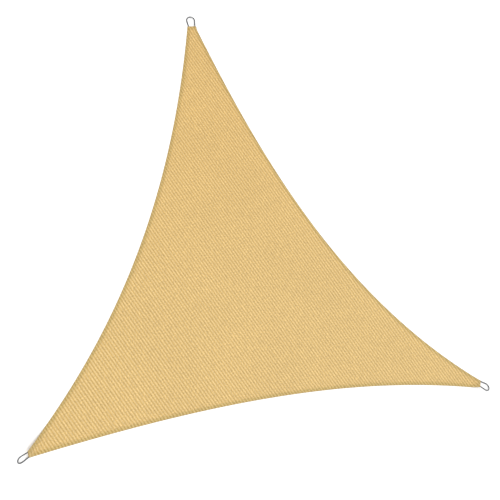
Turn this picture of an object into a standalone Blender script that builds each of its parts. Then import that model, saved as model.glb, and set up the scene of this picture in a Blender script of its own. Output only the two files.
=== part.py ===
"""Triangular shade sail, three metres a side, lying flat on the ground.

One ribbed knitted cloth with a turned hem and inward-curving edges. Each corner's end is folded round
the bar of a steel D-ring, whose legs come out through slits in the fold. The corners are rolled about
the line of pull, and their rings lean with them.
"""
import math
from collections import namedtuple

import bmesh
import bpy
import numpy as np
from mathutils import Matrix, Vector

# Sizes in metres
SIDE = 3.0                  # from the end of the cloth at one corner to the next
CLOTH = 0.0015              # thickness of the knitted cloth
HEM_WIDTH = 0.030
HEM = 0.003                 # thickness of the turned and sewn hem
HEM_STEP = 0.008            # width over which the hem's inner edge falls to the cloth
HEM_MEET = 0.090            # the two hems of a corner run together this far from its end
END_HALF_WIDTH = 0.0285     # half the width of the cloth at a corner's end
RIB_PITCH = 0.0188          # from one rib of the knit to the next
RIB_HEIGHT = 0.001          # of a crest over the valleys beside it, on the upper side
RIB_TURN = math.radians(26.2)   # plan direction across the ribs, from +X

WIRE = 0.007                # thickness of a ring's wire
RING_BAR = 0.022            # half the width of a ring at its straight bar, to the wire's middle
RING_BELLY = 0.0265         # the same at its widest, and the radius of its round end
RING_LENGTH = 0.075         # from the middle of the bar to the middle of the round end
RING_CORNER = 0.006         # radius of the two bends beside the bar

FOLD_RADIUS = 0.006         # outer radius of the cloth folded round the bar
TUNNEL_GAP = 0.0005         # room between the wire and the fold round it
TAPER = 0.050               # the fold thins down to the hem over this length

GROUND_GAP = 0.0005         # height of a leaning ring's lowest side
REACH_PER_DEGREE = 0.0033   # length of cloth that a corner lifts, for each degree of roll
UNROLL = 1.8                # how fast the roll dies out along that length
CREASE = 0.0005             # softness of the line along which a lifted corner leaves the ground
CREASE_GROWTH = 0.15        # how fast that line softens away from the ring

# The lines along an edge: how far each lies from it, and the thickness of the cloth there
HEM_LINES = ((0.0, HEM), (HEM_WIDTH, HEM), (HEM_WIDTH + HEM_STEP, CLOTH))

# Steps of the mesh
CORNER_LENGTH = 0.280       # the cloth is a grid of rows this far behind each corner's end
ROW_STEP = 0.018
EDGE_SAMPLES = 600
EDGE_STEPS = 24
MIDDLE_STEPS = 6
FOLD_ANGLES = (75, 50, 25, 0)   # of the rows round a corner's fold, in degrees before the bar
RIB_MERGE = 0.0002          # a rib's line takes over the points that lie this close to it
BEND_STEPS = 4
LEG_STEPS = 4
CROWN_STEPS = 15
WIRE_STEPS = 2              # the wire has eight sides,
FACET_TURN = math.radians(22.5)     # with one of them flat towards the inside of the ring

# The corners, counter-clockwise. place: in sides from the left corner; pull: direction of the ring
# in the plan, in degrees from +X; roll: of the ring and the fold about the pull, in degrees, the left
# of the pull going up; shift: of the cloth's end to the left of the pull, in metres.
Corner = namedtuple("Corner", "name place pull roll shift")
CORNERS = (
    Corner("top", (0.5, math.sqrt(3) / 2), 88.6, -6.0, -0.0013),
    Corner("left", (0.0, 0.0), 205.9, -56.0, -0.0013),
    Corner("right", (1.0, 0.0), -34.6, -19.5, 0.0022),
)

# The edge that leaves each corner, counter-clockwise. sag: depth of its inward curve, in metres;
# skew: how far the curve is deeper towards its far end.
Edge = namedtuple("Edge", "sag skew")
EDGES = {
    "top": Edge(0.2013, 0.0207),
    "left": Edge(0.1322, 0.0284),
    "right": Edge(0.2530, -0.0628),
}

SAND = (0.77, 0.54, 0.23, 1.0)
STEEL = (0.56, 0.57, 0.58, 1.0)


def clear_scene():
    for obj in list(bpy.data.objects):
        bpy.data.objects.remove(obj, do_unlink=True)


def new_collection(name):
    collection = bpy.data.collections.new(name)
    bpy.context.scene.collection.children.link(collection)
    return collection


def new_material(name, colour, roughness, metallic):
    material = bpy.data.materials.new(name)
    material.use_nodes = True
    shader = material.node_tree.nodes["Principled BSDF"]
    shader.inputs["Base Color"].default_value = colour
    shader.inputs["Roughness"].default_value = roughness
    shader.inputs["Metallic"].default_value = metallic
    return material


def smooth(x):
    """0 below 0, 1 above 1, and an even rise between them."""
    x = min(max(x, 0.0), 1.0)
    return x * x * (3.0 - 2.0 * x)


# Corners ------------------------------------------------------------------------------------------

def axes(corner):
    """Plan directions of a corner: along the pull, and to the left of it."""
    angle = math.radians(corner.pull)
    pull = np.array([math.cos(angle), math.sin(angle)])
    left = np.array([-pull[1], pull[0]])
    return pull, left


def end_point(corner):
    """Middle of the end of a corner's cloth, in the plan."""
    return SIDE * np.array(corner.place) + corner.shift * axes(corner)[1]


def local(corner, point):
    """A plan point as its distances past the corner's end and to the left of the pull."""
    pull, left = axes(corner)
    offset = point - end_point(corner)
    return offset @ pull, offset @ left


def plan(corner, along, across):
    """The plan point at given distances past a corner's end and to the left of the pull."""
    pull, left = axes(corner)
    return end_point(corner) + along * pull + across * left


def bar_height(corner):
    """Height of a ring's bar when the ring's lower side rests on the ground."""
    return RING_BELLY * math.sin(math.radians(abs(corner.roll))) + WIRE / 2 + GROUND_GAP


def ring_matrix(corner):
    """Turns a ring drawn along +Y, its bar on X, into its place at the corner."""
    middle = plan(corner, -FOLD_RADIUS, 0.0)
    place = Matrix.Translation((middle[0], middle[1], bar_height(corner)))
    turn = Matrix.Rotation(math.radians(corner.pull - 90.0), 4, "Z")
    roll = Matrix.Rotation(math.radians(corner.roll), 4, "Y")
    return place @ turn @ roll


# Outline of the cloth -----------------------------------------------------------------------------

def edge_ends(index):
    """The points between which an edge runs, from the end of corner index to the next one's."""
    here, there = CORNERS[index], CORNERS[(index + 1) % 3]
    half_here = END_HALF_WIDTH * math.cos(math.radians(here.roll))
    half_there = END_HALF_WIDTH * math.cos(math.radians(there.roll))
    return plan(here, 0.0, half_here), plan(there, 0.0, -half_there)


def edge_curve(index, inset):
    """Points along an edge, moved inwards by a distance."""
    start, finish = edge_ends(index)
    edge = EDGES[CORNERS[index].name]
    t = np.linspace(0.0, 1.0, EDGE_SAMPLES)[:, None]
    inward = np.array([start[1] - finish[1], finish[0] - start[0]])
    inward = inward / np.linalg.norm(inward)
    depth = 4.0 * t * (1.0 - t) * (edge.sag + edge.skew * (2.0 * t - 1.0))
    curve = start + (finish - start) * t + inward * depth
    tangent = np.gradient(curve, axis=0)
    tangent = tangent / np.linalg.norm(tangent, axis=1)[:, None]
    return curve + inset * np.stack([-tangent[:, 1], tangent[:, 0]], axis=1)


def crossing(index, corner, back, inset):
    """Where an inset edge crosses the line that lies a distance behind a corner's end."""
    curve = edge_curve(index, inset)
    placed = np.array([local(corner, point) for point in curve])
    near = placed[placed[:, 0] > -SIDE / 2]
    near = near[np.argsort(near[:, 0])]
    return float(np.interp(-back, near[:, 0], near[:, 1]))


def hemmed_row(index, back):
    """Places across a corner of a row of points: edge, hem, cloth, hem and edge."""
    corner = CORNERS[index]
    insets = [inset for inset, thickness in HEM_LINES]
    low = [crossing((index + 2) % 3, corner, back, inset) for inset in insets]
    high = [crossing(index, corner, back, inset) for inset in reversed(insets)]
    middle = np.linspace(low[-1], high[0], MIDDLE_STEPS + 1)[1:-1]
    return np.array(low + list(middle) + high)


def width_at(index, back):
    """Places of the two edges across a corner, a distance behind its end."""
    corner = CORNERS[index]
    return crossing((index + 2) % 3, corner, back, 0.0), crossing(index, corner, back, 0.0)


def fold_row(index):
    """The same for the row over the ring's bar: edge, fold beyond the bar, bar, fold, edge."""
    low, high = width_at(index, FOLD_RADIUS)
    bar = RING_BAR * math.cos(math.radians(CORNERS[index].roll))
    below, above = (low - bar) / 2.0, (high + bar) / 2.0
    return np.array([low, below, *np.linspace(-bar, bar, MIDDLE_STEPS + 1), above, high])


def shares_across(row):
    """The places in a row as shares of its width."""
    return (row - row[0]) / (row[-1] - row[0])


def corner_rows(index):
    """Distance behind the corner's end, and places across it, for each row of a corner's grid."""
    shares_here = shares_across(fold_row(index))
    shares_there = shares_across(hemmed_row(index, HEM_MEET))
    backs = [FOLD_RADIUS * (1.0 - math.sin(math.radians(degrees))) for degrees in FOLD_ANGLES]
    count = round((HEM_MEET - FOLD_RADIUS) / ROW_STEP)
    backs += list(np.linspace(FOLD_RADIUS, HEM_MEET, count + 1)[1:-1])
    rows = []
    for back in backs:
        blend = smooth((back - FOLD_RADIUS) / (HEM_MEET - FOLD_RADIUS))
        low, high = width_at(index, back)
        rows.append((back, low + (high - low) * (shares_here + (shares_there - shares_here) * blend)))
    foot = HEM_MEET + HEM_STEP
    count = round((CORNER_LENGTH - foot) / ROW_STEP)
    for back in (HEM_MEET, *np.linspace(foot, CORNER_LENGTH, count + 1)):
        rows.append((back, hemmed_row(index, back)))
    return rows


def edge_line(index, inset):
    """Plan points along an inset edge, between the grids of its two corners."""
    here, there = CORNERS[index], CORNERS[(index + 1) % 3]
    curve = edge_curve(index, inset)
    between = [point for point in curve
               if local(here, point)[0] < -CORNER_LENGTH and local(there, point)[0] < -CORNER_LENGTH]
    at = np.linspace(0, len(between) - 1, EDGE_STEPS + 1)[1:-1]
    return [between[round(i)] for i in at]


# Height and thickness of the cloth ----------------------------------------------------------------

def corner_shape(corner, along, across, thickness):
    """Lift of the underside of cloth of some thickness, and the slope that the roll gives it."""
    roll = math.radians(corner.roll)
    reach = REACH_PER_DEGREE * abs(corner.roll)
    behind_bar = max(-FOLD_RADIUS - along, 0.0)
    fade = max(1.0 - behind_bar / reach, 0.0) ** UNROLL
    height = bar_height(corner) + math.tan(roll) * across - math.cos(roll) * thickness / 2.0
    soft = CREASE + CREASE_GROWTH * behind_bar
    share = min(max((height + soft) / (2.0 * soft), 0.0), 1.0)
    lift = soft * share * share if share < 1.0 else height
    return fade * lift, fade * share * math.tan(roll)


def cloth_sides(point, flat_thickness):
    """Points on the cloth's underside and upper side over a plan point."""
    corner = max(CORNERS, key=lambda item: local(item, point)[0])
    along, across = local(corner, point)
    half = END_HALF_WIDTH * math.cos(math.radians(corner.roll))
    bar = RING_BAR * math.cos(math.radians(corner.roll))
    taper = smooth(1.0 + (along + FOLD_RADIUS) / TAPER)
    fullness = taper * (1.0 - smooth((abs(across) - bar) / (half - bar)))
    thickness = flat_thickness + (2.0 * FOLD_RADIUS - flat_thickness) * fullness
    lift, slope = corner_shape(corner, along, across, thickness)
    past_bar = min(max(1.0 + along / FOLD_RADIUS, 0.0), 1.0)
    half_thickness = thickness / 2.0 * math.sqrt(1.0 - past_bar ** 2)

    left = axes(corner)[1]
    middle = Vector((point[0], point[1], lift + thickness / 2.0 / math.hypot(1.0, slope)))
    normal = Vector((-slope * left[0], -slope * left[1], 1.0)).normalized()
    return middle - normal * half_thickness, middle + normal * half_thickness


def add_vert(bm, tops, sides, ribbed):
    """A vertex on the underside. What lies over it goes into tops: the point and its share of ribs."""
    under, upper = sides
    vert = bm.verts.new(under)
    tops[vert] = (upper, ribbed)
    return vert


def add_strip(bm, row, next_row):
    """Faces between two rows of as many vertices."""
    for i in range(len(row) - 1):
        bm.faces.new((row[i], next_row[i], next_row[i + 1], row[i + 1]))


def add_corner(bm, tops, index):
    """The grid of a corner, from the fold over the ring's bar inwards; gives its last row."""
    corner = CORNERS[index]
    last = None
    for back, places in corner_rows(index):
        ribbed = 1.0 if back >= FOLD_RADIUS else 0.0
        row = []
        for column, across in enumerate(places):
            in_hem = back <= HEM_MEET or column < 2 or column > len(places) - 3
            sides = cloth_sides(plan(corner, -back, across), HEM if in_hem else CLOTH)
            row.append(add_vert(bm, tops, sides, ribbed))
        if last:
            add_strip(bm, last, row)
        last = row
    return last


def add_underside(bm, tops):
    """The whole cloth as one net: three corners, three hems and the flat middle."""
    ends = [add_corner(bm, tops, index) for index in range(3)]
    middle = []
    for index in range(3):
        lines = []
        for line, (inset, thickness) in enumerate(HEM_LINES):
            points = edge_line(index, inset)
            verts = [add_vert(bm, tops, cloth_sides(point, thickness), ribbed=1.0) for point in points]
            lines.append([ends[index][-1 - line], *verts, ends[(index + 1) % 3][line]])
        add_strip(bm, lines[0], lines[1])
        add_strip(bm, lines[1], lines[2])
        middle += ends[index][2:-3] + lines[2][:-1]
    bm.faces.new(middle)


def raise_upper_side(bm, tops, ribbed):
    """Gives the cloth its thickness, and gives back the faces of its upper side."""
    over = {tuple(vert.co): above for vert, above in tops.items()}
    raised = bmesh.ops.extrude_face_region(bm, geom=list(bm.faces), use_keep_orig=True)
    for item in raised["geom"]:
        if isinstance(item, bmesh.types.BMVert):
            item.co, item[ribbed] = over[tuple(item.co)]
    return [item for item in raised["geom"] if isinstance(item, bmesh.types.BMFace)]


def raise_ribs(bm, faces, ribbed):
    """Cuts faces along the valleys and the crests of the ribs in turn, and lifts them into ribs."""
    across = Vector((math.cos(RIB_TURN), math.sin(RIB_TURN), 0.0))
    verts = {vert for face in faces for vert in face.verts}
    edges = {edge for face in faces for edge in face.edges}
    places = [vert.co.dot(across) for vert in verts]
    first = math.ceil(min(places) / (RIB_PITCH / 2.0))
    last = math.floor(max(places) / (RIB_PITCH / 2.0))
    geom = [*verts, *edges, *faces]
    for line in range(first, last + 1):
        cut = bmesh.ops.bisect_plane(bm, geom=geom, dist=RIB_MERGE, plane_no=across,
                                     plane_co=across * line * RIB_PITCH / 2.0)
        geom = cut["geom"]
    for item in geom:
        if isinstance(item, bmesh.types.BMVert):
            place = item.co.dot(across) / (RIB_PITCH / 2.0)
            share = abs((place + 1.0) % 2.0 - 1.0)
            item.co.z += RIB_HEIGHT * share * item[ribbed]


def make_canopy(collection, material):
    """The cloth: its underside as a net of faces, then raised to its thickness and ribbed."""
    bm = bmesh.new()
    ribbed = bm.verts.layers.float.new("ribbed")
    tops = {}
    add_underside(bm, tops)
    upper_side = raise_upper_side(bm, tops, ribbed)
    knit = [face for face in upper_side if any(vert[ribbed] for vert in face.verts)]
    raise_ribs(bm, knit, ribbed)
    bmesh.ops.recalc_face_normals(bm, faces=list(bm.faces))

    mesh = bpy.data.meshes.new("canopy")
    bm.to_mesh(mesh)
    bm.free()
    mesh.materials.append(material)
    canopy = bpy.data.objects.new("canopy", mesh)
    collection.objects.link(canopy)
    return canopy


# Rings --------------------------------------------------------------------------------------------

def ring_path():
    """The middle line of a D-ring, its bar on X and its round end towards +Y."""
    side = []
    for step in range(BEND_STEPS + 1):
        angle = math.radians(90.0) * step / BEND_STEPS
        side.append((RING_BAR - RING_CORNER * (1.0 - math.sin(angle)),
                     RING_CORNER * (1.0 - math.cos(angle))))
    shoulder = RING_LENGTH - RING_BELLY
    for step in range(1, LEG_STEPS):
        share = step / LEG_STEPS
        side.append((RING_BAR + (RING_BELLY - RING_BAR) * smooth(share),
                     RING_CORNER + (shoulder - RING_CORNER) * share))
    crown = []
    for step in range(CROWN_STEPS + 1):
        angle = math.pi * step / CROWN_STEPS
        crown.append((RING_BELLY * math.cos(angle), shoulder + RING_BELLY * math.sin(angle)))
    other_side = [(-x, y) for x, y in reversed(side)]
    return side + crown + other_side


def ring_curve(name, corner, radius):
    """A round wire of a given radius along a corner's ring."""
    path = ring_path()
    curve = bpy.data.curves.new(name, "CURVE")
    curve.dimensions = "3D"
    curve.bevel_depth = radius
    curve.bevel_resolution = WIRE_STEPS
    spline = curve.splines.new("POLY")
    spline.points.add(len(path) - 1)
    for point, (x, y) in zip(spline.points, path):
        point.co = (x, y, 0.0, 1.0)
        point.tilt = FACET_TURN
    spline.use_cyclic_u = True
    wire = bpy.data.objects.new(name, curve)
    wire.matrix_world = ring_matrix(corner)
    return wire


def make_ring(corner, collection, material):
    ring = ring_curve("ring_" + corner.name, corner, WIRE / 2)
    ring.data.materials.append(material)
    collection.objects.link(ring)
    return ring


def cut_tunnel(canopy, corner, cutters):
    """Opens the fold for the ring's bar, with a slit for each leg."""
    wire = ring_curve("wire_room_" + corner.name, corner, WIRE / 2 + TUNNEL_GAP)
    cutters.objects.link(wire)
    graph = bpy.context.evaluated_depsgraph_get()
    mesh = bpy.data.meshes.new_from_object(wire.evaluated_get(graph))
    cutter = bpy.data.objects.new("tunnel_" + corner.name, mesh)
    cutter.matrix_world = wire.matrix_world
    bpy.data.objects.remove(wire, do_unlink=True)
    cutter.hide_render = True
    cutter.display_type = "WIRE"
    cutters.objects.link(cutter)
    cut = canopy.modifiers.new(cutter.name, "BOOLEAN")
    cut.operation = "DIFFERENCE"
    cut.solver = "EXACT"
    cut.object = cutter
    return cutter


def middle_of(parts):
    """Middle, on the ground, of the box round the finished parts."""
    bpy.context.view_layer.update()
    graph = bpy.context.evaluated_depsgraph_get()
    points = []
    for obj in parts:
        finished = obj.evaluated_get(graph)
        points += [obj.matrix_world @ vert.co for vert in finished.to_mesh().vertices]
        finished.to_mesh_clear()
    x, y = [(min(values) + max(values)) / 2.0 for values in list(zip(*points))[:2]]
    return Vector((x, y, 0.0))


def centre_on_ground(objects, parts):
    """Hangs every object from one empty, and moves it so that the parts' box is centred on Z."""
    anchor = bpy.data.objects.new("sail_origin", None)
    bpy.context.scene.collection.objects.link(anchor)
    anchor.location = -middle_of(parts)
    for obj in objects:
        obj.parent = anchor


def main():
    clear_scene()
    collection = new_collection("shade_sail")
    cutters = new_collection("cutters")
    cloth = new_material("sand_knit", SAND, roughness=0.85, metallic=0.0)
    steel = new_material("steel", STEEL, roughness=0.3, metallic=1.0)
    canopy = make_canopy(collection, cloth)
    tunnels = [cut_tunnel(canopy, corner, cutters) for corner in CORNERS]
    rings = [make_ring(corner, collection, steel) for corner in CORNERS]
    centre_on_ground([canopy] + rings + tunnels, [canopy] + rings)


main()
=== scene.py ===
"""Looks of the triangular shade sail: a ribbed knit with folded and stitched hems, its corners sewn round
polished D-rings, lying on a pale floor in soft studio light.

Plan coordinates have the left corner's place at their origin. The frame has the middle of the whole
part's box there, so every piece is modelled in the plan and then moved by PLAN_MIDDLE.
"""
import functools
import math
from collections import Counter, namedtuple

import bmesh
import bpy
import numpy as np
from mathutils import Matrix, Quaternion, Vector
from mathutils.bvhtree import BVHTree


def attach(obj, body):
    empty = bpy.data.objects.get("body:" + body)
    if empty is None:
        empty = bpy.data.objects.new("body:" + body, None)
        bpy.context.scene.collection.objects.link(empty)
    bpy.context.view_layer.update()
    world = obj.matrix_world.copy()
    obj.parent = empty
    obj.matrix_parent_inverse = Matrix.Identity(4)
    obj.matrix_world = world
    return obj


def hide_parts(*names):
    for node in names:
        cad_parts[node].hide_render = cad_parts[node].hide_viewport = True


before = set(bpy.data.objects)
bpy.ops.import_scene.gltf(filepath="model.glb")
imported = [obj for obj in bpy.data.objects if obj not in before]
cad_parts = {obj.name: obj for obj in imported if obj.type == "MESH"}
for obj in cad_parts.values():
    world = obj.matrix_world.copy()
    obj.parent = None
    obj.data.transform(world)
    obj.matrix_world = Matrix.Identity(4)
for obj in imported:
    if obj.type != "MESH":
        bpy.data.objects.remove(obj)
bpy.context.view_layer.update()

# Sizes in metres, as in the solids ------------------------------------------------------------------
SIDE = 3.0                  # from the end of the cloth at one corner to the next
PLAN_MIDDLE = (1.49934, 1.30945, 0.0)   # of the part's box, in plan coordinates
CLOTH = 0.0015              # thickness of the knitted cloth
HEM_WIDTH = 0.030
HEM = 0.003                 # thickness of the turned and sewn hem
HEM_MEET = 0.090            # the two hems of a corner run together this far from its end
END_HALF_WIDTH = 0.0285     # half the width of the cloth at a corner's end
RIB_PITCH = 0.0188          # from one rib of the knit to the next
RIB_HEIGHT = 0.001          # of a crest over the valleys beside it
RIB_TURN = math.radians(26.2)   # plan direction across the ribs, from +X

WIRE = 0.007                # thickness of a ring's wire
RING_BAR = 0.022            # half the width of a ring at its straight bar, to the wire's middle
RING_BELLY = 0.0265         # the same at its widest, and the radius of its round end
RING_LENGTH = 0.075         # from the middle of the bar to the middle of the round end
RING_CORNER = 0.006         # radius of the two bends beside the bar

FOLD_RADIUS = 0.006         # outer radius of the cloth folded round the bar
TUNNEL_GAP = 0.0005         # room between the wire and the fold round it
TAPER = 0.050               # the fold thins down to the hem over this length

GROUND_GAP = 0.0005         # height of a leaning ring's lowest side
REACH_PER_DEGREE = 0.0033   # length of cloth that a corner lifts, for each degree of roll
UNROLL = 1.8                # how fast the roll dies out along that length
CREASE = 0.0005             # softness of the line along which a lifted corner leaves the ground
CREASE_GROWTH = 0.15        # how fast that line softens away from the ring

# The corners, counter-clockwise. place: in sides from the left corner; pull: direction of the ring
# in the plan, in degrees from +X; roll: of the ring and the fold about the pull, in degrees, the left
# of the pull going up; shift: of the cloth's end to the left of the pull, in metres.
Corner = namedtuple("Corner", "name place pull roll shift")
CORNERS = (
    Corner("top", (0.5, math.sqrt(3) / 2), 88.6, -6.0, -0.0013),
    Corner("left", (0.0, 0.0), 205.9, -56.0, -0.0013),
    Corner("right", (1.0, 0.0), -34.6, -19.5, 0.0022),
)

# The edge that leaves each corner, counter-clockwise. sag: depth of its inward curve, in metres;
# skew: how far the curve is deeper towards its far end.
Edge = namedtuple("Edge", "sag skew")
EDGES = {
    "top": Edge(0.2013, 0.0207),
    "left": Edge(0.1322, 0.0284),
    "right": Edge(0.2530, -0.0628),
}

# Finer form of the hem ------------------------------------------------------------------------------
HEM_STEP = 0.016                # width over which the hem falls to the cloth
HEM_FOLD = 0.0025               # how far the rounding of a folded edge reaches in
GROOVE_PLACE = 0.0305           # the turned edge shows as a groove in the underside, this far in
GROOVE_DEPTH = 0.0006

# Steps of the finer mesh ----------------------------------------------------------------------------
HEM_ANGLES = (15, 45, 90)       # of the lines round a folded edge, in degrees
HEM_INSETS = (0.016, 0.030, GROOVE_PLACE, 0.031, 0.036, 0.041, 0.046)   # of the lines behind the fold
CORNER_LENGTH = 0.280           # the cloth is a grid of rows this far behind each corner's end
ROW_STEP = 0.009
EDGE_SAMPLES = 900
EDGE_STEPS = 90
MIDDLE_STEPS = 10
FOLD_ANGLES = (80, 70, 60, 48, 36, 24, 12, 0)   # of the rows round a corner's fold, before the bar
LINES_PER_RIB = 6
CROSS_STEP = 0.040              # between the lines that cross the ribs
CUT_MERGE = 0.0002              # a cut takes over the points that lie this close to it
SHARP = math.radians(50.0)      # faces that meet at more than this keep a sharp edge

BEND_STEPS = 8
LEG_STEPS = 12
CROWN_STEPS = 40
WIRE_SIDES = 20

# How uneven the knit is -----------------------------------------------------------------------------
SEED = 11
PLUCK_LENGTH = 0.055            # between the fuller and the flatter places along a rib
PLUCK = 0.35                    # share of a rib's height that comes and goes along it
PLUCK_CELLS = (181, 97)         # of the pattern, across and along the ribs, before it repeats

# Loops and mottling of the knit, in its material ----------------------------------------------------
WALES_PER_RIB = 6               # columns of loops in a rib
LOOP_LENGTH = 0.0034            # of one loop along its wale
LOOP_LEAN = 0.7                 # how far a loop's two legs slant, in loops
LOOP_RELIEF = 0.0006            # height of the wales
LOOP_DEPTH = 0.6                # share of it that falls away between two loops
DASH_WIDTH = 0.011              # of the lighter and darker dashes along the ribs
DASH_LENGTH = 0.055
GRAIN = 0.009                   # size of the fine unevenness of the loops
PATCH = 0.45                    # size of the broad, faint patches

# Patterns of the thread and the steel, in cells to a metre, and their relief ------------------------
TWIST = 1500.0                  # of the thread
TWIST_RELIEF = 0.0002
DULL_PLACES = 60.0
DRAW_MARKS = 900.0
DRAW_RELIEF = 0.00003

# How a pattern turns into a share or a shade: it runs from start to stop, and the shade from low to high
Ramp = namedtuple("Ramp", "start stop low high")
RIB_RAMP = Ramp(0.05, 0.85, 0.0, 1.0)       # from a valley's colour to a crest's
# The wale and loop ramps darken the knit where its bump is low: painted shade between the wales and
# between the loops
WALE_RAMP = Ramp(0.0, 0.6, 0.86, 1.04)
LOOP_RAMP = Ramp(0.0, 0.8, 0.90, 1.03)
DASH_RAMP = Ramp(0.3, 0.7, 0.94, 1.04)
GRAIN_RAMP = Ramp(0.3, 0.7, 0.85, 1.15)
PATCH_RAMP = Ramp(0.3, 0.7, 0.985, 1.015)
FAR_RAMP = Ramp(0.3, 2.6, 0.0, 1.0)         # metres towards the top corner
HEM_RAMP = Ramp(0.012, 0.028, 1.0, 0.0)     # metres from the edge
EDGE_DENSITY_AND_SHADE_RAMP = Ramp(0.001, 0.006, 0.2, 0.0)    # the same
DULL_RAMP = Ramp(0.35, 0.7, 0.12, 0.30)     # roughness of the steel

# Stitching ------------------------------------------------------------------------------------------
THREAD = 0.0009                 # thickness
STITCH = 0.0048                 # length of a stitch
STITCH_PITCH = 0.0064           # from one stitch to the next
STITCH_BULGE = 0.0003           # how far the middle of a stitch stands over the cloth
STITCH_BITE = 0.0005            # how far its ends sink in
STITCH_SIDES = 5
HEM_ROW = 0.0255                # from the edge to the row that holds the hem
HEM_ROW_START = 0.060           # how far behind a corner's end that row starts
BOX_FRONT = 0.016               # a corner's box of stitches reaches from here behind the end
BOX_BACK = 0.050                # to here
BOX_HALF_WIDTH = 0.018

# Colours --------------------------------------------------------------------------------------------
# The valleys' darker colour and the crests' lighter one are painted shade and light of the ribs, on top
# of the shading their relief gets
LIT_CREST = (0.640, 0.457, 0.197, 1.0)
SHADED_VALLEY = (0.502, 0.323, 0.098, 1.0)
FAR_TINT = (1.00, 0.955, 0.87, 1.0)     # the cloth is a little warmer towards the top corner
HEM_TINT = (0.78, 0.80, 0.72, 1.0)      # the doubled cloth of the hem lets less of the floor through
# The folded edge is darker for its denser cloth, and for painted shade where the fold rolls away to the
# floor
EDGE_DENSITY_AND_SHADE = (0.260, 0.190, 0.085, 1.0)
THREAD_COLOUR = (0.600, 0.405, 0.160, 1.0)
# The thread's darker colour goes where the twist's relief dips: painted shade in its grooves
THREAD_GROOVE_SHADE = (0.450, 0.30375, 0.120, 1.0)
# The steel is far darker than bare steel: its colour is dimmed as a painted dark reflection of
# surroundings the pale studio lacks
STEEL = (0.105, 0.107, 0.111, 1.0)
FLOOR = (0.88, 0.88, 0.88, 1.0)
WHITE = (1.0, 1.0, 1.0, 1.0)

# Camera and light, in the frame ---------------------------------------------------------------------
CAMERA_PLACE = (-3.0197, -2.1075, 6.4245)
CAMERA_AIM = (0.0803, -0.2594, 0.0)
CAMERA_ROLL = math.radians(50.49)
LENS_MM = 85.0
SENSOR_MM = 36.0
SIGHT = 200.0                   # the camera sees this far

FLOOR_SIZE = 60.0
FLOOR_GAP = 0.0004              # the floor lies this far under the cloth, so that their faces stay apart
SKY = 0.9

# Where a lamp stands: direction in the plan, height over the floor in degrees, distance, size, power
Lamp = namedtuple("Lamp", "name turn height distance size power")
LAMPS = (
    Lamp("key", 240.0, 52.0, 20.0, 8.0, 1560.0),
    Lamp("overhead", 60.0, 80.0, 14.0, 9.0, 600.0),
)


def smooth(x):
    """0 below 0, 1 above 1, and an even rise between them."""
    x = np.clip(x, 0.0, 1.0)
    return x * x * (3.0 - 2.0 * x)


# Corners --------------------------------------------------------------------------------------------

def axes(corner):
    """Plan directions of a corner: along the pull, and to the left of it."""
    angle = math.radians(corner.pull)
    pull = np.array([math.cos(angle), math.sin(angle)])
    left = np.array([-pull[1], pull[0]])
    return pull, left


def end_point(corner):
    """Middle of the end of a corner's cloth, in the plan."""
    return SIDE * np.array(corner.place) + corner.shift * axes(corner)[1]


def local(corner, points):
    """Plan points as their distances past the corner's end and to the left of the pull."""
    pull, left = axes(corner)
    offset = points - end_point(corner)
    return offset @ pull, offset @ left


def plan(corner, along, across):
    """The plan point at given distances past a corner's end and to the left of the pull."""
    pull, left = axes(corner)
    return end_point(corner) + along * pull + across * left


def bar_height(corner):
    """Height of a ring's bar when the ring's lower side rests on the ground."""
    return RING_BELLY * math.sin(math.radians(abs(corner.roll))) + WIRE / 2 + GROUND_GAP


def ring_matrix(corner):
    """Turns a ring drawn along +Y, its bar on X, into its place at the corner."""
    middle = plan(corner, -FOLD_RADIUS, 0.0)
    place = Matrix.Translation((middle[0], middle[1], bar_height(corner)))
    turn = Matrix.Rotation(math.radians(corner.pull - 90.0), 4, "Z")
    roll = Matrix.Rotation(math.radians(corner.roll), 4, "Y")
    return place @ turn @ roll


# Outline of the cloth -------------------------------------------------------------------------------

def edge_ends(index):
    """The points between which an edge runs, from the end of corner index to the next one's."""
    here, there = CORNERS[index], CORNERS[(index + 1) % 3]
    half_here = END_HALF_WIDTH * math.cos(math.radians(here.roll))
    half_there = END_HALF_WIDTH * math.cos(math.radians(there.roll))
    return plan(here, 0.0, half_here), plan(there, 0.0, -half_there)


@functools.lru_cache(maxsize=None)
def edge_curve(index, inset):
    """Points along an edge, moved inwards by a distance."""
    start, finish = edge_ends(index)
    edge = EDGES[CORNERS[index].name]
    t = np.linspace(0.0, 1.0, EDGE_SAMPLES)[:, None]
    inward = np.array([start[1] - finish[1], finish[0] - start[0]])
    inward = inward / np.linalg.norm(inward)
    depth = 4.0 * t * (1.0 - t) * (edge.sag + edge.skew * (2.0 * t - 1.0))
    curve = start + (finish - start) * t + inward * depth
    tangent = np.gradient(curve, axis=0)
    tangent = tangent / np.linalg.norm(tangent, axis=1)[:, None]
    return curve + inset * np.stack([-tangent[:, 1], tangent[:, 0]], axis=1)


def crossing(index, corner, back, inset):
    """Where an inset edge crosses the line that lies a distance behind a corner's end."""
    along, across = local(corner, edge_curve(index, inset))
    near = along > -SIDE / 2
    order = np.argsort(along[near])
    return float(np.interp(-back, along[near][order], across[near][order]))


def fold_insets():
    """How far the lines round a folded edge lie from it."""
    return [HEM_FOLD * (1.0 - math.cos(math.radians(degrees))) for degrees in HEM_ANGLES]


def line_insets():
    """How far all the lines beside an edge lie from it: round its fold, and behind that."""
    return fold_insets() + list(HEM_INSETS)


def hemmed_row(index, back):
    """Places across a corner of a row of points: edge, hem, cloth, hem and edge."""
    corner = CORNERS[index]
    insets = line_insets()
    low = [crossing((index + 2) % 3, corner, back, inset) for inset in insets]
    high = [crossing(index, corner, back, inset) for inset in reversed(insets)]
    middle = np.linspace(low[-1], high[0], MIDDLE_STEPS + 1)[1:-1]
    return np.array(low + list(middle) + high)


def width_at(index, back):
    """Places of the outermost lines across a corner, a distance behind its end."""
    corner = CORNERS[index]
    inset = fold_insets()[0]
    return crossing((index + 2) % 3, corner, back, inset), crossing(index, corner, back, inset)


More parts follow.
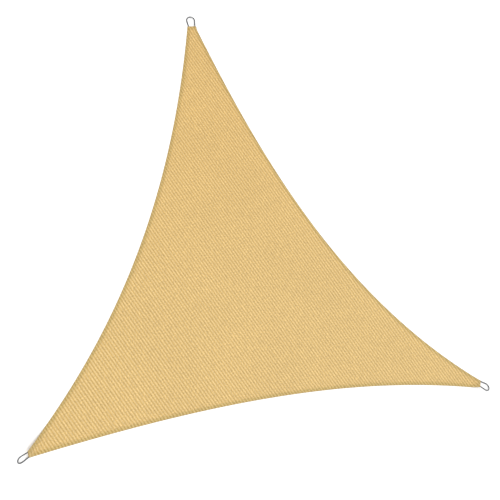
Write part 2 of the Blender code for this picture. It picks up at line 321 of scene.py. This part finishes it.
def fold_row(index):
    """Places across a corner of the row over the ring's bar: edge, fold, bar, fold and edge."""
    low, high = width_at(index, FOLD_RADIUS)
    folds = np.array(fold_insets()) - fold_insets()[0]
    bar = RING_BAR * math.cos(math.radians(CORNERS[index].roll))
    spare = len(HEM_INSETS)
    below = np.linspace(low + folds[-1], -bar, spare + 1)[1:-1]
    above = np.linspace(bar, high - folds[-1], spare + 1)[1:-1]
    return np.array([*(low + folds), *below, *np.linspace(-bar, bar, MIDDLE_STEPS + 1),
                     *above, *(high - folds[::-1])])


def shares_across(row):
    """The places in a row as shares of its width."""
    return (row - row[0]) / (row[-1] - row[0])


def corner_rows(index):
    """Distance behind the corner's end, and places across it, for each row of a corner's grid."""
    shares_here = shares_across(fold_row(index))
    shares_there = shares_across(hemmed_row(index, HEM_MEET))
    backs = [FOLD_RADIUS * (1.0 - math.sin(math.radians(degrees))) for degrees in FOLD_ANGLES]
    count = round((HEM_MEET - FOLD_RADIUS) / ROW_STEP)
    backs += list(np.linspace(FOLD_RADIUS, HEM_MEET, count + 1)[1:-1])
    rows = []
    for back in backs:
        blend = smooth((back - FOLD_RADIUS) / (HEM_MEET - FOLD_RADIUS))
        low, high = width_at(index, back)
        rows.append((back, low + (high - low) * (shares_here + (shares_there - shares_here) * blend)))
    count = round((CORNER_LENGTH - HEM_MEET) / ROW_STEP)
    for back in np.linspace(HEM_MEET, CORNER_LENGTH, count + 1):
        rows.append((back, hemmed_row(index, back)))
    return rows


def edge_line(index, inset):
    """Plan points along an inset edge, between the grids of its two corners."""
    here, there = CORNERS[index], CORNERS[(index + 1) % 3]
    curve = edge_curve(index, inset)
    between = (local(here, curve)[0] < -CORNER_LENGTH) & (local(there, curve)[0] < -CORNER_LENGTH)
    curve = curve[between]
    at = np.linspace(0, len(curve) - 1, EDGE_STEPS + 1)[1:-1]
    return [curve[round(i)] for i in at]


# Height and thickness of the cloth ------------------------------------------------------------------

def corner_shape(corner, along, across, thickness):
    """Lift of the underside of cloth of some thickness, and the slope that the roll gives it."""
    roll = math.radians(corner.roll)
    reach = REACH_PER_DEGREE * abs(corner.roll)
    behind_bar = max(-FOLD_RADIUS - along, 0.0)
    fade = max(1.0 - behind_bar / reach, 0.0) ** UNROLL
    height = bar_height(corner) + math.tan(roll) * across - math.cos(roll) * thickness / 2.0
    soft = CREASE + CREASE_GROWTH * behind_bar
    share = min(max((height + soft) / (2.0 * soft), 0.0), 1.0)
    lift = soft * share * share if share < 1.0 else height
    return fade * lift, fade * share * math.tan(roll)


def fold_share(inset):
    """How far the fold of an edge has opened at a distance from it, from 0 to 1."""
    return math.sqrt(1.0 - (1.0 - min(inset / HEM_FOLD, 1.0)) ** 2)


def flat_section(inset, opened):
    """Height of the underside, and thickness, of flat cloth at a distance from its edge.

    opened is 1 where the hem has an inner edge, and 0 where two hems run together.
    """
    fall = smooth((inset - HEM_WIDTH) / HEM_STEP) * opened
    full = HEM + (CLOTH - HEM) * fall
    share = fold_share(inset)
    groove = GROOVE_DEPTH * opened if inset == GROOVE_PLACE else 0.0
    return HEM / 2.0 * (1.0 - share) + groove, full * share - groove


def cloth_sides(point, inset, opened):
    """Points on the cloth's underside and upper side over a plan point."""
    corner = max(CORNERS, key=lambda item: local(item, point)[0])
    along, across = local(corner, point)
    half = END_HALF_WIDTH * math.cos(math.radians(corner.roll))
    bar = RING_BAR * math.cos(math.radians(corner.roll))
    taper = smooth(1.0 + (along + FOLD_RADIUS) / TAPER)
    fullness = taper * (1.0 - smooth((abs(across) - bar) / (half - bar)))
    under, thickness = flat_section(inset, opened)
    under = under * (1.0 - fullness)
    thickness = thickness + (2.0 * FOLD_RADIUS - thickness) * fullness
    lift, slope = corner_shape(corner, along, across, 2.0 * under + thickness)
    past_bar = min(max(1.0 + along / FOLD_RADIUS, 0.0), 1.0)
    half_thickness = thickness / 2.0 * math.sqrt(1.0 - past_bar ** 2)

    left = axes(corner)[1]
    middle = Vector((point[0], point[1], lift + (under + thickness / 2.0) / math.hypot(1.0, slope)))
    normal = Vector((-slope * left[0], -slope * left[1], 1.0)).normalized()
    return middle - normal * half_thickness, middle + normal * half_thickness


# The cloth as a net ---------------------------------------------------------------------------------

# A point of the net has two sides; ribbed is the share of the ribs' height there, inset its distance
# from the edge.
NetPoint = namedtuple("NetPoint", "under upper ribbed inset")


class Net:
    """The points of the cloth, and the faces between them, as seen in the plan."""

    def __init__(self):
        self.points = []
        self.faces = []

    def add(self, sides, ribbed, inset):
        under, upper = sides
        self.points.append(NetPoint(under, upper, ribbed, inset))
        return len(self.points) - 1

    def add_strip(self, row, next_row):
        for i in range(len(row) - 1):
            self.faces.append((row[i], next_row[i], next_row[i + 1], row[i + 1]))

    def borders(self):
        """The pairs of points that only one face joins."""
        pairs = Counter()
        for face in self.faces:
            for i, here in enumerate(face):
                pairs[frozenset((face[i - 1], here))] += 1
        return [tuple(pair) for pair, count in pairs.items() if count == 1]


def column_insets(back, places):
    """Distance from the nearest edge of each point in a corner's row."""
    insets = line_insets()
    if back < HEM_MEET:
        return np.minimum(places - places[0], places[-1] - places) + insets[0]
    inner = [insets[-1]] * (len(places) - 2 * len(insets))
    return np.array(insets + inner + insets[::-1])


def add_corner(net, index):
    """The grid of a corner, from the fold over the ring's bar inwards; gives its last row."""
    corner = CORNERS[index]
    last = None
    for back, places in corner_rows(index):
        opened = smooth((back - HEM_MEET) / HEM_STEP)
        plain = 0.0 if back < FOLD_RADIUS else 1.0
        row = []
        for across, inset in zip(places, column_insets(back, places)):
            sides = cloth_sides(plan(corner, -back, across), inset, opened)
            row.append(net.add(sides, plain * fold_share(inset), min(inset, back)))
        if last:
            net.add_strip(last, row)
        last = row
    return last


def make_net():
    """The whole cloth: three corners, three hems and the flat middle."""
    net = Net()
    insets = line_insets()
    ends = [add_corner(net, index) for index in range(3)]
    middle = []
    for index in range(3):
        lines = []
        for line, inset in enumerate(insets):
            points = [net.add(cloth_sides(point, inset, 1.0), fold_share(inset), inset)
                      for point in edge_line(index, inset)]
            lines.append([ends[index][-1 - line], *points, ends[(index + 1) % 3][line]])
        for line, next_line in zip(lines, lines[1:]):
            net.add_strip(line, next_line)
        count = len(insets)
        middle += ends[index][count - 1:-count] + lines[-1][:-1]
    net.faces.append(tuple(middle))
    return net


def closed_mesh(net):
    """A closed mesh from the net: both its sides, and walls along its border."""
    bm = bmesh.new()
    ribbed = bm.verts.layers.float.new("ribbed")
    inset = bm.verts.layers.float.new("inset")
    under = [bm.verts.new(point.under) for point in net.points]
    upper = [bm.verts.new(point.upper) for point in net.points]
    for point, low, high in zip(net.points, under, upper):
        high[ribbed] = point.ribbed
        low[inset] = high[inset] = point.inset
    for face in net.faces:
        bm.faces.new([under[i] for i in face])
        bm.faces.new([upper[i] for i in face])
    for here, there in net.borders():
        bm.faces.new((under[here], under[there], upper[there], upper[here]))
    bmesh.ops.recalc_face_normals(bm, faces=list(bm.faces))
    mesh = bpy.data.meshes.new("canopy_mesh")
    bm.to_mesh(mesh)
    bm.free()
    return mesh


# Ribs -----------------------------------------------------------------------------------------------

ACROSS_RIBS = Vector((math.cos(RIB_TURN), math.sin(RIB_TURN), 0.0))
ALONG_RIBS = Vector((-math.sin(RIB_TURN), math.cos(RIB_TURN), 0.0))


def cut_faces(bm, faces, direction, places):
    """Cuts faces along the planes at these distances in a direction, the middle plane first."""
    if not places or not faces:
        return list(faces)
    middle = places[len(places) // 2]
    verts = {vert for face in faces for vert in face.verts}
    edges = {edge for face in faces for edge in face.edges}
    cut = bmesh.ops.bisect_plane(bm, geom=[*verts, *edges, *faces], dist=CUT_MERGE,
                                 plane_no=direction, plane_co=direction * middle)
    near, far = [], []
    for item in cut["geom"]:
        if isinstance(item, bmesh.types.BMFace):
            side = near if item.calc_center_median().dot(direction) < middle else far
            side.append(item)
    half = len(places) // 2
    return (cut_faces(bm, near, direction, places[:half])
            + cut_faces(bm, far, direction, places[half + 1:]))


def places_over(faces, direction, step):
    """The multiples of a step that faces reach over in a direction."""
    reach = [vert.co.dot(direction) for face in faces for vert in face.verts]
    return [i * step for i in range(math.ceil(min(reach) / step), math.floor(max(reach) / step) + 1)]


def pluck_pattern():
    """How full the ribs are, from -1 to 1, at places that repeat across and along them."""
    return np.random.RandomState(SEED).uniform(-1.0, 1.0, PLUCK_CELLS)


def rib_heights(points):
    """Height of the ribs over the valleys at plan points, in shares of the full height."""
    across = points @ np.array(ACROSS_RIBS) / RIB_PITCH
    along = points @ np.array(ALONG_RIBS) / PLUCK_LENGTH
    pattern = pluck_pattern()
    rib = np.floor(across).astype(int) % PLUCK_CELLS[0]
    cell = np.floor(along).astype(int)
    share = smooth(along - cell)
    here = pattern[rib, cell % PLUCK_CELLS[1]]
    there = pattern[rib, (cell + 1) % PLUCK_CELLS[1]]
    fullness = 1.0 + PLUCK * (here + (there - here) * share)
    return (0.5 - 0.5 * np.cos(2.0 * math.pi * across)) * fullness


def raise_ribs(mesh):
    """Cuts the upper side along and across the ribs, and lifts its points to them."""
    bm = bmesh.new()
    bm.from_mesh(mesh)
    ribbed = bm.verts.layers.float["ribbed"]
    knit = [face for face in bm.faces if any(vert[ribbed] > 0.0 for vert in face.verts)]
    knit = cut_faces(bm, knit, ALONG_RIBS, places_over(knit, ALONG_RIBS, CROSS_STEP))
    cut_faces(bm, knit, ACROSS_RIBS, places_over(knit, ACROSS_RIBS, RIB_PITCH / LINES_PER_RIB))
    verts = [vert for vert in bm.verts if vert[ribbed] > 0.0]
    heights = rib_heights(np.array([vert.co for vert in verts]))
    for vert, height in zip(verts, heights):
        vert.co.z += RIB_HEIGHT * vert[ribbed] * height
    bm.to_mesh(mesh)
    bm.free()


# Pieces ---------------------------------------------------------------------------------------------

def new_object(name, mesh, material):
    """An object of the scene, moved from the plan to the frame."""
    mesh.materials.append(material)
    obj = bpy.data.objects.new(name, mesh)
    bpy.context.scene.collection.objects.link(obj)
    mesh.transform(Matrix.Translation(-Vector(PLAN_MIDDLE)))
    return obj


def ring_path():
    """The middle line of a D-ring, its bar on X and its round end towards +Y."""
    side = []
    for step in range(BEND_STEPS + 1):
        angle = math.radians(90.0) * step / BEND_STEPS
        side.append((RING_BAR - RING_CORNER * (1.0 - math.sin(angle)),
                     RING_CORNER * (1.0 - math.cos(angle))))
    shoulder = RING_LENGTH - RING_BELLY
    for step in range(1, LEG_STEPS):
        share = step / LEG_STEPS
        side.append((RING_BAR + (RING_BELLY - RING_BAR) * smooth(share),
                     RING_CORNER + (shoulder - RING_CORNER) * share))
    crown = []
    for step in range(CROWN_STEPS + 1):
        angle = math.pi * step / CROWN_STEPS
        crown.append((RING_BELLY * math.cos(angle), shoulder + RING_BELLY * math.sin(angle)))
    other_side = [(-x, y) for x, y in reversed(side)]
    return np.array(side + crown + other_side)


def wire_mesh(corner, radius):
    """A round wire along a corner's ring, closed on itself."""
    path = ring_path()
    tangent = np.roll(path, -1, axis=0) - np.roll(path, 1, axis=0)
    tangent = tangent / np.linalg.norm(tangent, axis=1)[:, None]
    bm = bmesh.new()
    rounds = []
    for (x, y), (tx, ty) in zip(path, tangent):
        wire = []
        for step in range(WIRE_SIDES):
            angle = 2.0 * math.pi * step / WIRE_SIDES
            out = radius * math.cos(angle)
            wire.append(bm.verts.new((x + out * ty, y - out * tx, radius * math.sin(angle))))
        rounds.append(wire)
    for here, there in zip(rounds, rounds[1:] + rounds[:1]):
        for i in range(WIRE_SIDES):
            bm.faces.new((here[i - 1], here[i], there[i], there[i - 1]))
    bmesh.ops.recalc_face_normals(bm, faces=list(bm.faces))
    bmesh.ops.transform(bm, matrix=ring_matrix(corner), verts=list(bm.verts))
    mesh = bpy.data.meshes.new("wire")
    bm.to_mesh(mesh)
    bm.free()
    return mesh


def make_ring(corner, material):
    mesh = wire_mesh(corner, WIRE / 2.0)
    mesh.shade_smooth()
    return new_object("ring_wire_" + corner.name, mesh, material)


def with_tunnels(mesh):
    """The cloth's mesh with its folded ends opened for the rings."""
    cloth = bpy.data.objects.new("cloth", mesh)
    bpy.context.scene.collection.objects.link(cloth)
    cutters = []
    for corner in CORNERS:
        cutter = bpy.data.objects.new("tunnel", wire_mesh(corner, WIRE / 2.0 + TUNNEL_GAP))
        bpy.context.scene.collection.objects.link(cutter)
        cut = cloth.modifiers.new("tunnel", "BOOLEAN")
        cut.operation = "DIFFERENCE"
        cut.solver = "EXACT"
        cut.object = cutter
        cutters.append(cutter)
    graph = bpy.context.evaluated_depsgraph_get()
    opened = bpy.data.meshes.new_from_object(cloth.evaluated_get(graph))
    for obj in (cloth, *cutters):
        bpy.data.objects.remove(obj, do_unlink=True)
    return opened


def make_canopy(material):
    mesh = with_tunnels(closed_mesh(make_net()))
    raise_ribs(mesh)
    mesh.shade_smooth()
    mesh.set_sharp_from_angle(angle=SHARP)
    return new_object("canopy_knit", mesh, material)


# Stitching ------------------------------------------------------------------------------------------

def rows_along(points):
    """Starts and ends of the stitches along a line of plan points."""
    points = np.array(points)
    steps = np.linalg.norm(np.diff(points, axis=0), axis=1)
    reach = np.concatenate([[0.0], np.cumsum(steps)])
    count = max(round(reach[-1] / STITCH_PITCH), 1)
    pitch = reach[-1] / count
    starts = np.arange(count) * pitch + (pitch - STITCH) / 2.0
    for start in starts:
        ends = [[np.interp(at, reach, points[:, axis]) for axis in (0, 1)]
                for at in (start, start + STITCH)]
        yield ends


def hem_rows():
    """The line of the row that holds each hem."""
    for index in range(3):
        here, there = CORNERS[index], CORNERS[(index + 1) % 3]
        curve = edge_curve(index, HEM_ROW)
        free = ((local(here, curve)[0] < -HEM_ROW_START)
                & (local(there, curve)[0] < -HEM_ROW_START))
        yield curve[free]


def box_rows(corner):
    """The sides and the diagonals of a corner's box of stitches."""
    half = BOX_HALF_WIDTH * math.cos(math.radians(corner.roll))
    front_low, front_high, back_high, back_low = [
        plan(corner, -back, across)
        for back, across in ((BOX_FRONT, -half), (BOX_FRONT, half), (BOX_BACK, half), (BOX_BACK, -half))]
    yield front_low, front_high
    yield front_high, back_high
    yield back_high, back_low
    yield back_low, front_low
    yield front_low, back_high
    yield front_high, back_low


def on_cloth(tree, point):
    """The place on the cloth's upper side over a plan point, and which way it faces there."""
    over, down = Vector((point[0], point[1], 1.0)), Vector((0.0, 0.0, -1.0))
    return tree.ray_cast(over, down)[:2]


def add_stitch(bm, tree, start, finish):
    """A short length of thread over the cloth, its ends sunk into it."""
    middle = (np.array(start) + np.array(finish)) / 2.0
    (low, low_normal), (top, top_normal), (high, high_normal) = [
        on_cloth(tree, point) for point in (start, middle, finish)]
    along = (high - low).normalized()
    aside = along.cross(top_normal).normalized()
    up = aside.cross(along)
    line = [low - low_normal * STITCH_BITE, (low + top) / 2.0 + top_normal * STITCH_BULGE,
            (high + top) / 2.0 + top_normal * STITCH_BULGE, high - high_normal * STITCH_BITE]
    angles = [2.0 * math.pi * step / STITCH_SIDES for step in range(STITCH_SIDES)]
    offsets = [(aside * math.cos(angle) + up * math.sin(angle)) * THREAD / 2 for angle in angles]
    rounds = [[bm.verts.new(centre + offset) for offset in offsets] for centre in line]
    for here, there in zip(rounds, rounds[1:]):
        for i in range(STITCH_SIDES):
            bm.faces.new((here[i - 1], here[i], there[i], there[i - 1]))
    bm.faces.new(rounds[0])
    bm.faces.new(rounds[-1][::-1])


def cloth_tree(canopy):
    """The cloth's mesh in plan coordinates, for finding the places of stitches on it."""
    mesh = canopy.data.copy()
    mesh.transform(Matrix.Translation(Vector(PLAN_MIDDLE)))
    bm = bmesh.new()
    bm.from_mesh(mesh)
    tree = BVHTree.FromBMesh(bm)
    bm.free()
    bpy.data.meshes.remove(mesh)
    return tree


def make_stitches(name, tree, lines, material):
    """The stitches along several lines, as one piece on the cloth."""
    bm = bmesh.new()
    for line in lines:
        for start, finish in rows_along(line):
            add_stitch(bm, tree, start, finish)
    bmesh.ops.recalc_face_normals(bm, faces=list(bm.faces))
    mesh = bpy.data.meshes.new(name)
    bm.to_mesh(mesh)
    bm.free()
    mesh.shade_smooth()
    return new_object(name, mesh, material)


# Materials ------------------------------------------------------------------------------------------

def new_material(name, **values):
    """A material, its nodes and its shader, with the shader's plain values set."""
    material = bpy.data.materials.new(name)
    material.use_nodes = True
    nodes = material.node_tree.nodes
    shader = nodes["Principled BSDF"]
    for socket, value in values.items():
        shader.inputs[socket.replace("_", " ")].default_value = value
    return material, material.node_tree, shader


def feed(tree, socket, value):
    """Links another node's output to a socket, or sets the socket to a plain value."""
    if isinstance(value, bpy.types.NodeSocket):
        tree.links.new(value, socket)
    else:
        socket.default_value = value


def calc(tree, operation, *values):
    """The output of one step of arithmetic."""
    node = tree.nodes.new("ShaderNodeMath")
    node.operation = operation
    for socket, value in zip(node.inputs, values):
        feed(tree, socket, value)
    return node.outputs[0]


def ramped(tree, value, ramp):
    """A value's way from a ramp's start to its stop, smoothed, as the way from its low to its high."""
    node = tree.nodes.new("ShaderNodeMapRange")
    node.interpolation_type = "SMOOTHSTEP"
    tree.links.new(value, node.inputs["Value"])
    node.inputs["From Min"].default_value = ramp.start
    node.inputs["From Max"].default_value = ramp.stop
    node.inputs["To Min"].default_value = ramp.low
    node.inputs["To Max"].default_value = ramp.high
    return node.outputs["Result"]


def mixed(tree, share, first, second, blend="MIX"):
    """The first colour, by some share replaced by the second or blended with it."""
    node = tree.nodes.new("ShaderNodeMix")
    node.data_type = "RGBA"
    node.blend_type = blend
    feed(tree, node.inputs["Factor"], share)
    feed(tree, node.inputs["A"], first)
    feed(tree, node.inputs["B"], second)
    return node.outputs["Result"]


def noise(tree, vector, scale, detail=2.0):
    node = tree.nodes.new("ShaderNodeTexNoise")
    feed(tree, node.inputs["Vector"], vector)
    node.inputs["Scale"].default_value = scale
    node.inputs["Detail"].default_value = detail
    return node.outputs["Fac"]


def stretched(tree, across, along, length_across, length_along):
    """Coordinates in which cells of these two lengths are one unit wide and long."""
    node = tree.nodes.new("ShaderNodeCombineXYZ")
    feed(tree, node.inputs["X"], calc(tree, "DIVIDE", across, length_across))
    feed(tree, node.inputs["Y"], calc(tree, "DIVIDE", along, length_along))
    return node.outputs["Vector"]


def rib_coordinates(tree):
    """Distances across and along the ribs, and towards the top corner, in metres in the plan."""
    place = tree.nodes.new("ShaderNodeTexCoord")
    in_plan = tree.nodes.new("ShaderNodeVectorMath")
    in_plan.operation = "ADD"
    tree.links.new(place.outputs["Object"], in_plan.inputs[0])
    in_plan.inputs[1].default_value = PLAN_MIDDLE
    turned = tree.nodes.new("ShaderNodeVectorRotate")
    turned.rotation_type = "Z_AXIS"
    turned.inputs["Angle"].default_value = -RIB_TURN
    tree.links.new(in_plan.outputs["Vector"], turned.inputs["Vector"])
    ribs = tree.nodes.new("ShaderNodeSeparateXYZ")
    tree.links.new(turned.outputs["Vector"], ribs.inputs["Vector"])
    sides = tree.nodes.new("ShaderNodeSeparateXYZ")
    tree.links.new(in_plan.outputs["Vector"], sides.inputs["Vector"])
    return ribs.outputs["X"], ribs.outputs["Y"], sides.outputs["Y"]


def attribute(tree, name):
    node = tree.nodes.new("ShaderNodeAttribute")
    node.attribute_name = name
    return node.outputs["Fac"]


def wave(tree, value, length):
    """0 at every whole length and 1 halfway between them."""
    angle = calc(tree, "MULTIPLY", value, 2.0 * math.pi / length)
    return calc(tree, "MULTIPLY_ADD", calc(tree, "COSINE", angle), -0.5, 0.5)


def bump(tree, shader, height, distance):
    """Gives a surface the fine relief of a height pattern."""
    node = tree.nodes.new("ShaderNodeBump")
    node.inputs["Distance"].default_value = distance
    tree.links.new(height, node.inputs["Height"])
    tree.links.new(node.outputs["Normal"], shader.inputs["Normal"])


def knit_material():
    """Ribs of looped tape, mottled in dashes along the ribs, with painted shade in the rib valleys and
    between the loops, and a darker folded edge: denser cloth there, and painted shade where the fold
    rolls away.
    """
    material, tree, shader = new_material("sand_knit", Roughness=0.78, Sheen_Weight=0.15,
                                          Sheen_Roughness=0.5)
    across, along, far = rib_coordinates(tree)
    rib = wave(tree, across, RIB_PITCH)
    wale = wave(tree, across, RIB_PITCH / WALES_PER_RIB)
    lean = calc(tree, "MULTIPLY", wale, LOOP_LENGTH * LOOP_LEAN)
    loop = wave(tree, calc(tree, "ADD", along, lean), LOOP_LENGTH)
    dash = noise(tree, stretched(tree, across, along, DASH_WIDTH, DASH_LENGTH), 1.0, detail=3.0)
    grain = noise(tree, stretched(tree, across, along, GRAIN, GRAIN), 1.0, detail=1.0)
    patch = noise(tree, stretched(tree, across, along, PATCH, PATCH), 1.0)

    # Painted shade between the wales and the loops, times the random mottling of dashes, grain and
    # patches
    painted_shade_and_mottle = ramped(tree, wale, WALE_RAMP)
    for pattern, ramp in ((loop, LOOP_RAMP), (dash, DASH_RAMP), (grain, GRAIN_RAMP), (patch, PATCH_RAMP)):
        painted_shade_and_mottle = calc(tree, "MULTIPLY", painted_shade_and_mottle, ramped(tree, pattern, ramp))
    # Painted rib shading: the valley colour where the relief is low, the crest colour where it is high
    colour = mixed(tree, ramped(tree, rib, RIB_RAMP), SHADED_VALLEY, LIT_CREST)
    colour = mixed(tree, 1.0, colour, painted_shade_and_mottle, "MULTIPLY")
    colour = mixed(tree, ramped(tree, far, FAR_RAMP), colour, FAR_TINT, "MULTIPLY")
    inset = attribute(tree, "inset")
    colour = mixed(tree, ramped(tree, inset, HEM_RAMP), colour, HEM_TINT, "MULTIPLY")
    # Darker folded edge: denser cloth, and painted shade where the fold rolls away
    colour = mixed(tree, ramped(tree, inset, EDGE_DENSITY_AND_SHADE_RAMP), colour, EDGE_DENSITY_AND_SHADE)
    tree.links.new(colour, shader.inputs["Base Color"])

    height = calc(tree, "MULTIPLY", wale, calc(tree, "MULTIPLY_ADD", loop, LOOP_DEPTH, 1.0 - LOOP_DEPTH))
    bump(tree, shader, height, LOOP_RELIEF)
    return material


def thread_material():
    """Twisted thread, a little glossier than the cloth, with painted shade where the relief of its twist
    dips.
    """
    material, tree, shader = new_material("thread", Roughness=0.55)
    place = tree.nodes.new("ShaderNodeTexCoord").outputs["Object"]
    twist = noise(tree, place, TWIST, detail=1.0)
    tree.links.new(mixed(tree, twist, THREAD_GROOVE_SHADE, THREAD_COLOUR), shader.inputs["Base Color"])
    bump(tree, shader, twist, TWIST_RELIEF)
    return material


def steel_material():
    """Polished wire, with the fine draw marks and the duller places of a handled ring, its colour
    darkened as a painted dark reflection.
    """
    material, tree, shader = new_material("ring_steel", Base_Color=STEEL, Metallic=1.0)
    place = tree.nodes.new("ShaderNodeTexCoord").outputs["Object"]
    dull = noise(tree, place, DULL_PLACES, detail=3.0)
    tree.links.new(ramped(tree, dull, DULL_RAMP), shader.inputs["Roughness"])
    bump(tree, shader, noise(tree, place, DRAW_MARKS), DRAW_RELIEF)
    return material


def floor_material():
    return new_material("floor", Base_Color=FLOOR, Roughness=0.95)[0]


# Studio ---------------------------------------------------------------------------------------------

def make_camera():
    """The camera at the photo's viewing angle."""
    data = bpy.data.cameras.new("camera")
    data.lens = LENS_MM
    data.sensor_width = SENSOR_MM
    data.clip_end = SIGHT
    camera = bpy.data.objects.new("camera", data)
    bpy.context.scene.collection.objects.link(camera)
    camera.location = CAMERA_PLACE
    aim = Vector(CAMERA_AIM) - Vector(CAMERA_PLACE)
    turned = aim.to_track_quat("-Z", "Y") @ Quaternion((0.0, 0.0, 1.0), CAMERA_ROLL)
    camera.rotation_euler = turned.to_euler()
    bpy.context.scene.camera = camera


def make_floor():
    """A wide, pale floor under the sail."""
    mesh = bpy.data.meshes.new("floor")
    bm = bmesh.new()
    bmesh.ops.create_grid(bm, x_segments=1, y_segments=1, size=FLOOR_SIZE / 2.0)
    bm.to_mesh(mesh)
    bm.free()
    mesh.materials.append(floor_material())
    floor = bpy.data.objects.new("floor", mesh)
    floor.location.z = -FLOOR_GAP
    bpy.context.scene.collection.objects.link(floor)


def make_lamp(lamp):
    """A round, soft lamp that faces the middle of the floor."""
    data = bpy.data.lights.new(lamp.name, "AREA")
    data.shape = "DISK"
    data.size = lamp.size
    data.energy = lamp.power
    light = bpy.data.objects.new(lamp.name, data)
    turn, height = math.radians(lamp.turn), math.radians(lamp.height)
    towards = Vector((math.cos(turn) * math.cos(height), math.sin(turn) * math.cos(height),
                      math.sin(height)))
    light.location = towards * lamp.distance
    light.rotation_euler = (-towards).to_track_quat("-Z", "Y").to_euler()
    bpy.context.scene.collection.objects.link(light)


def make_sky():
    world = bpy.data.worlds.new("studio")
    world.use_nodes = True
    background = world.node_tree.nodes["Background"]
    background.inputs["Color"].default_value = WHITE
    background.inputs["Strength"].default_value = SKY
    bpy.context.scene.world = world


def make_studio():
    make_camera()
    make_floor()
    make_sky()
    for lamp in LAMPS:
        make_lamp(lamp)
    bpy.context.scene.view_settings.view_transform = "Standard"


# The object -----------------------------------------------------------------------------------------

def dress():
    """The cloth, its stitches and the rings, in place of the solids."""
    knit = knit_material()
    thread = thread_material()
    steel = steel_material()
    canopy = make_canopy(knit)
    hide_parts("canopy")
    tree = cloth_tree(canopy)
    boxes = [row for corner in CORNERS for row in box_rows(corner)]
    stitching = [
        make_stitches("hem_stitches", tree, hem_rows(), thread),
        make_stitches("corner_stitches", tree, boxes, thread),
    ]
    rings = []
    for corner in CORNERS:
        ring = make_ring(corner, steel)
        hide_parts("ring_" + corner.name)
        rings.append(ring)
    for piece in (canopy, *stitching):
        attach(piece, "root")
    for piece in rings:
        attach(piece, "root")


make_studio()
dress()
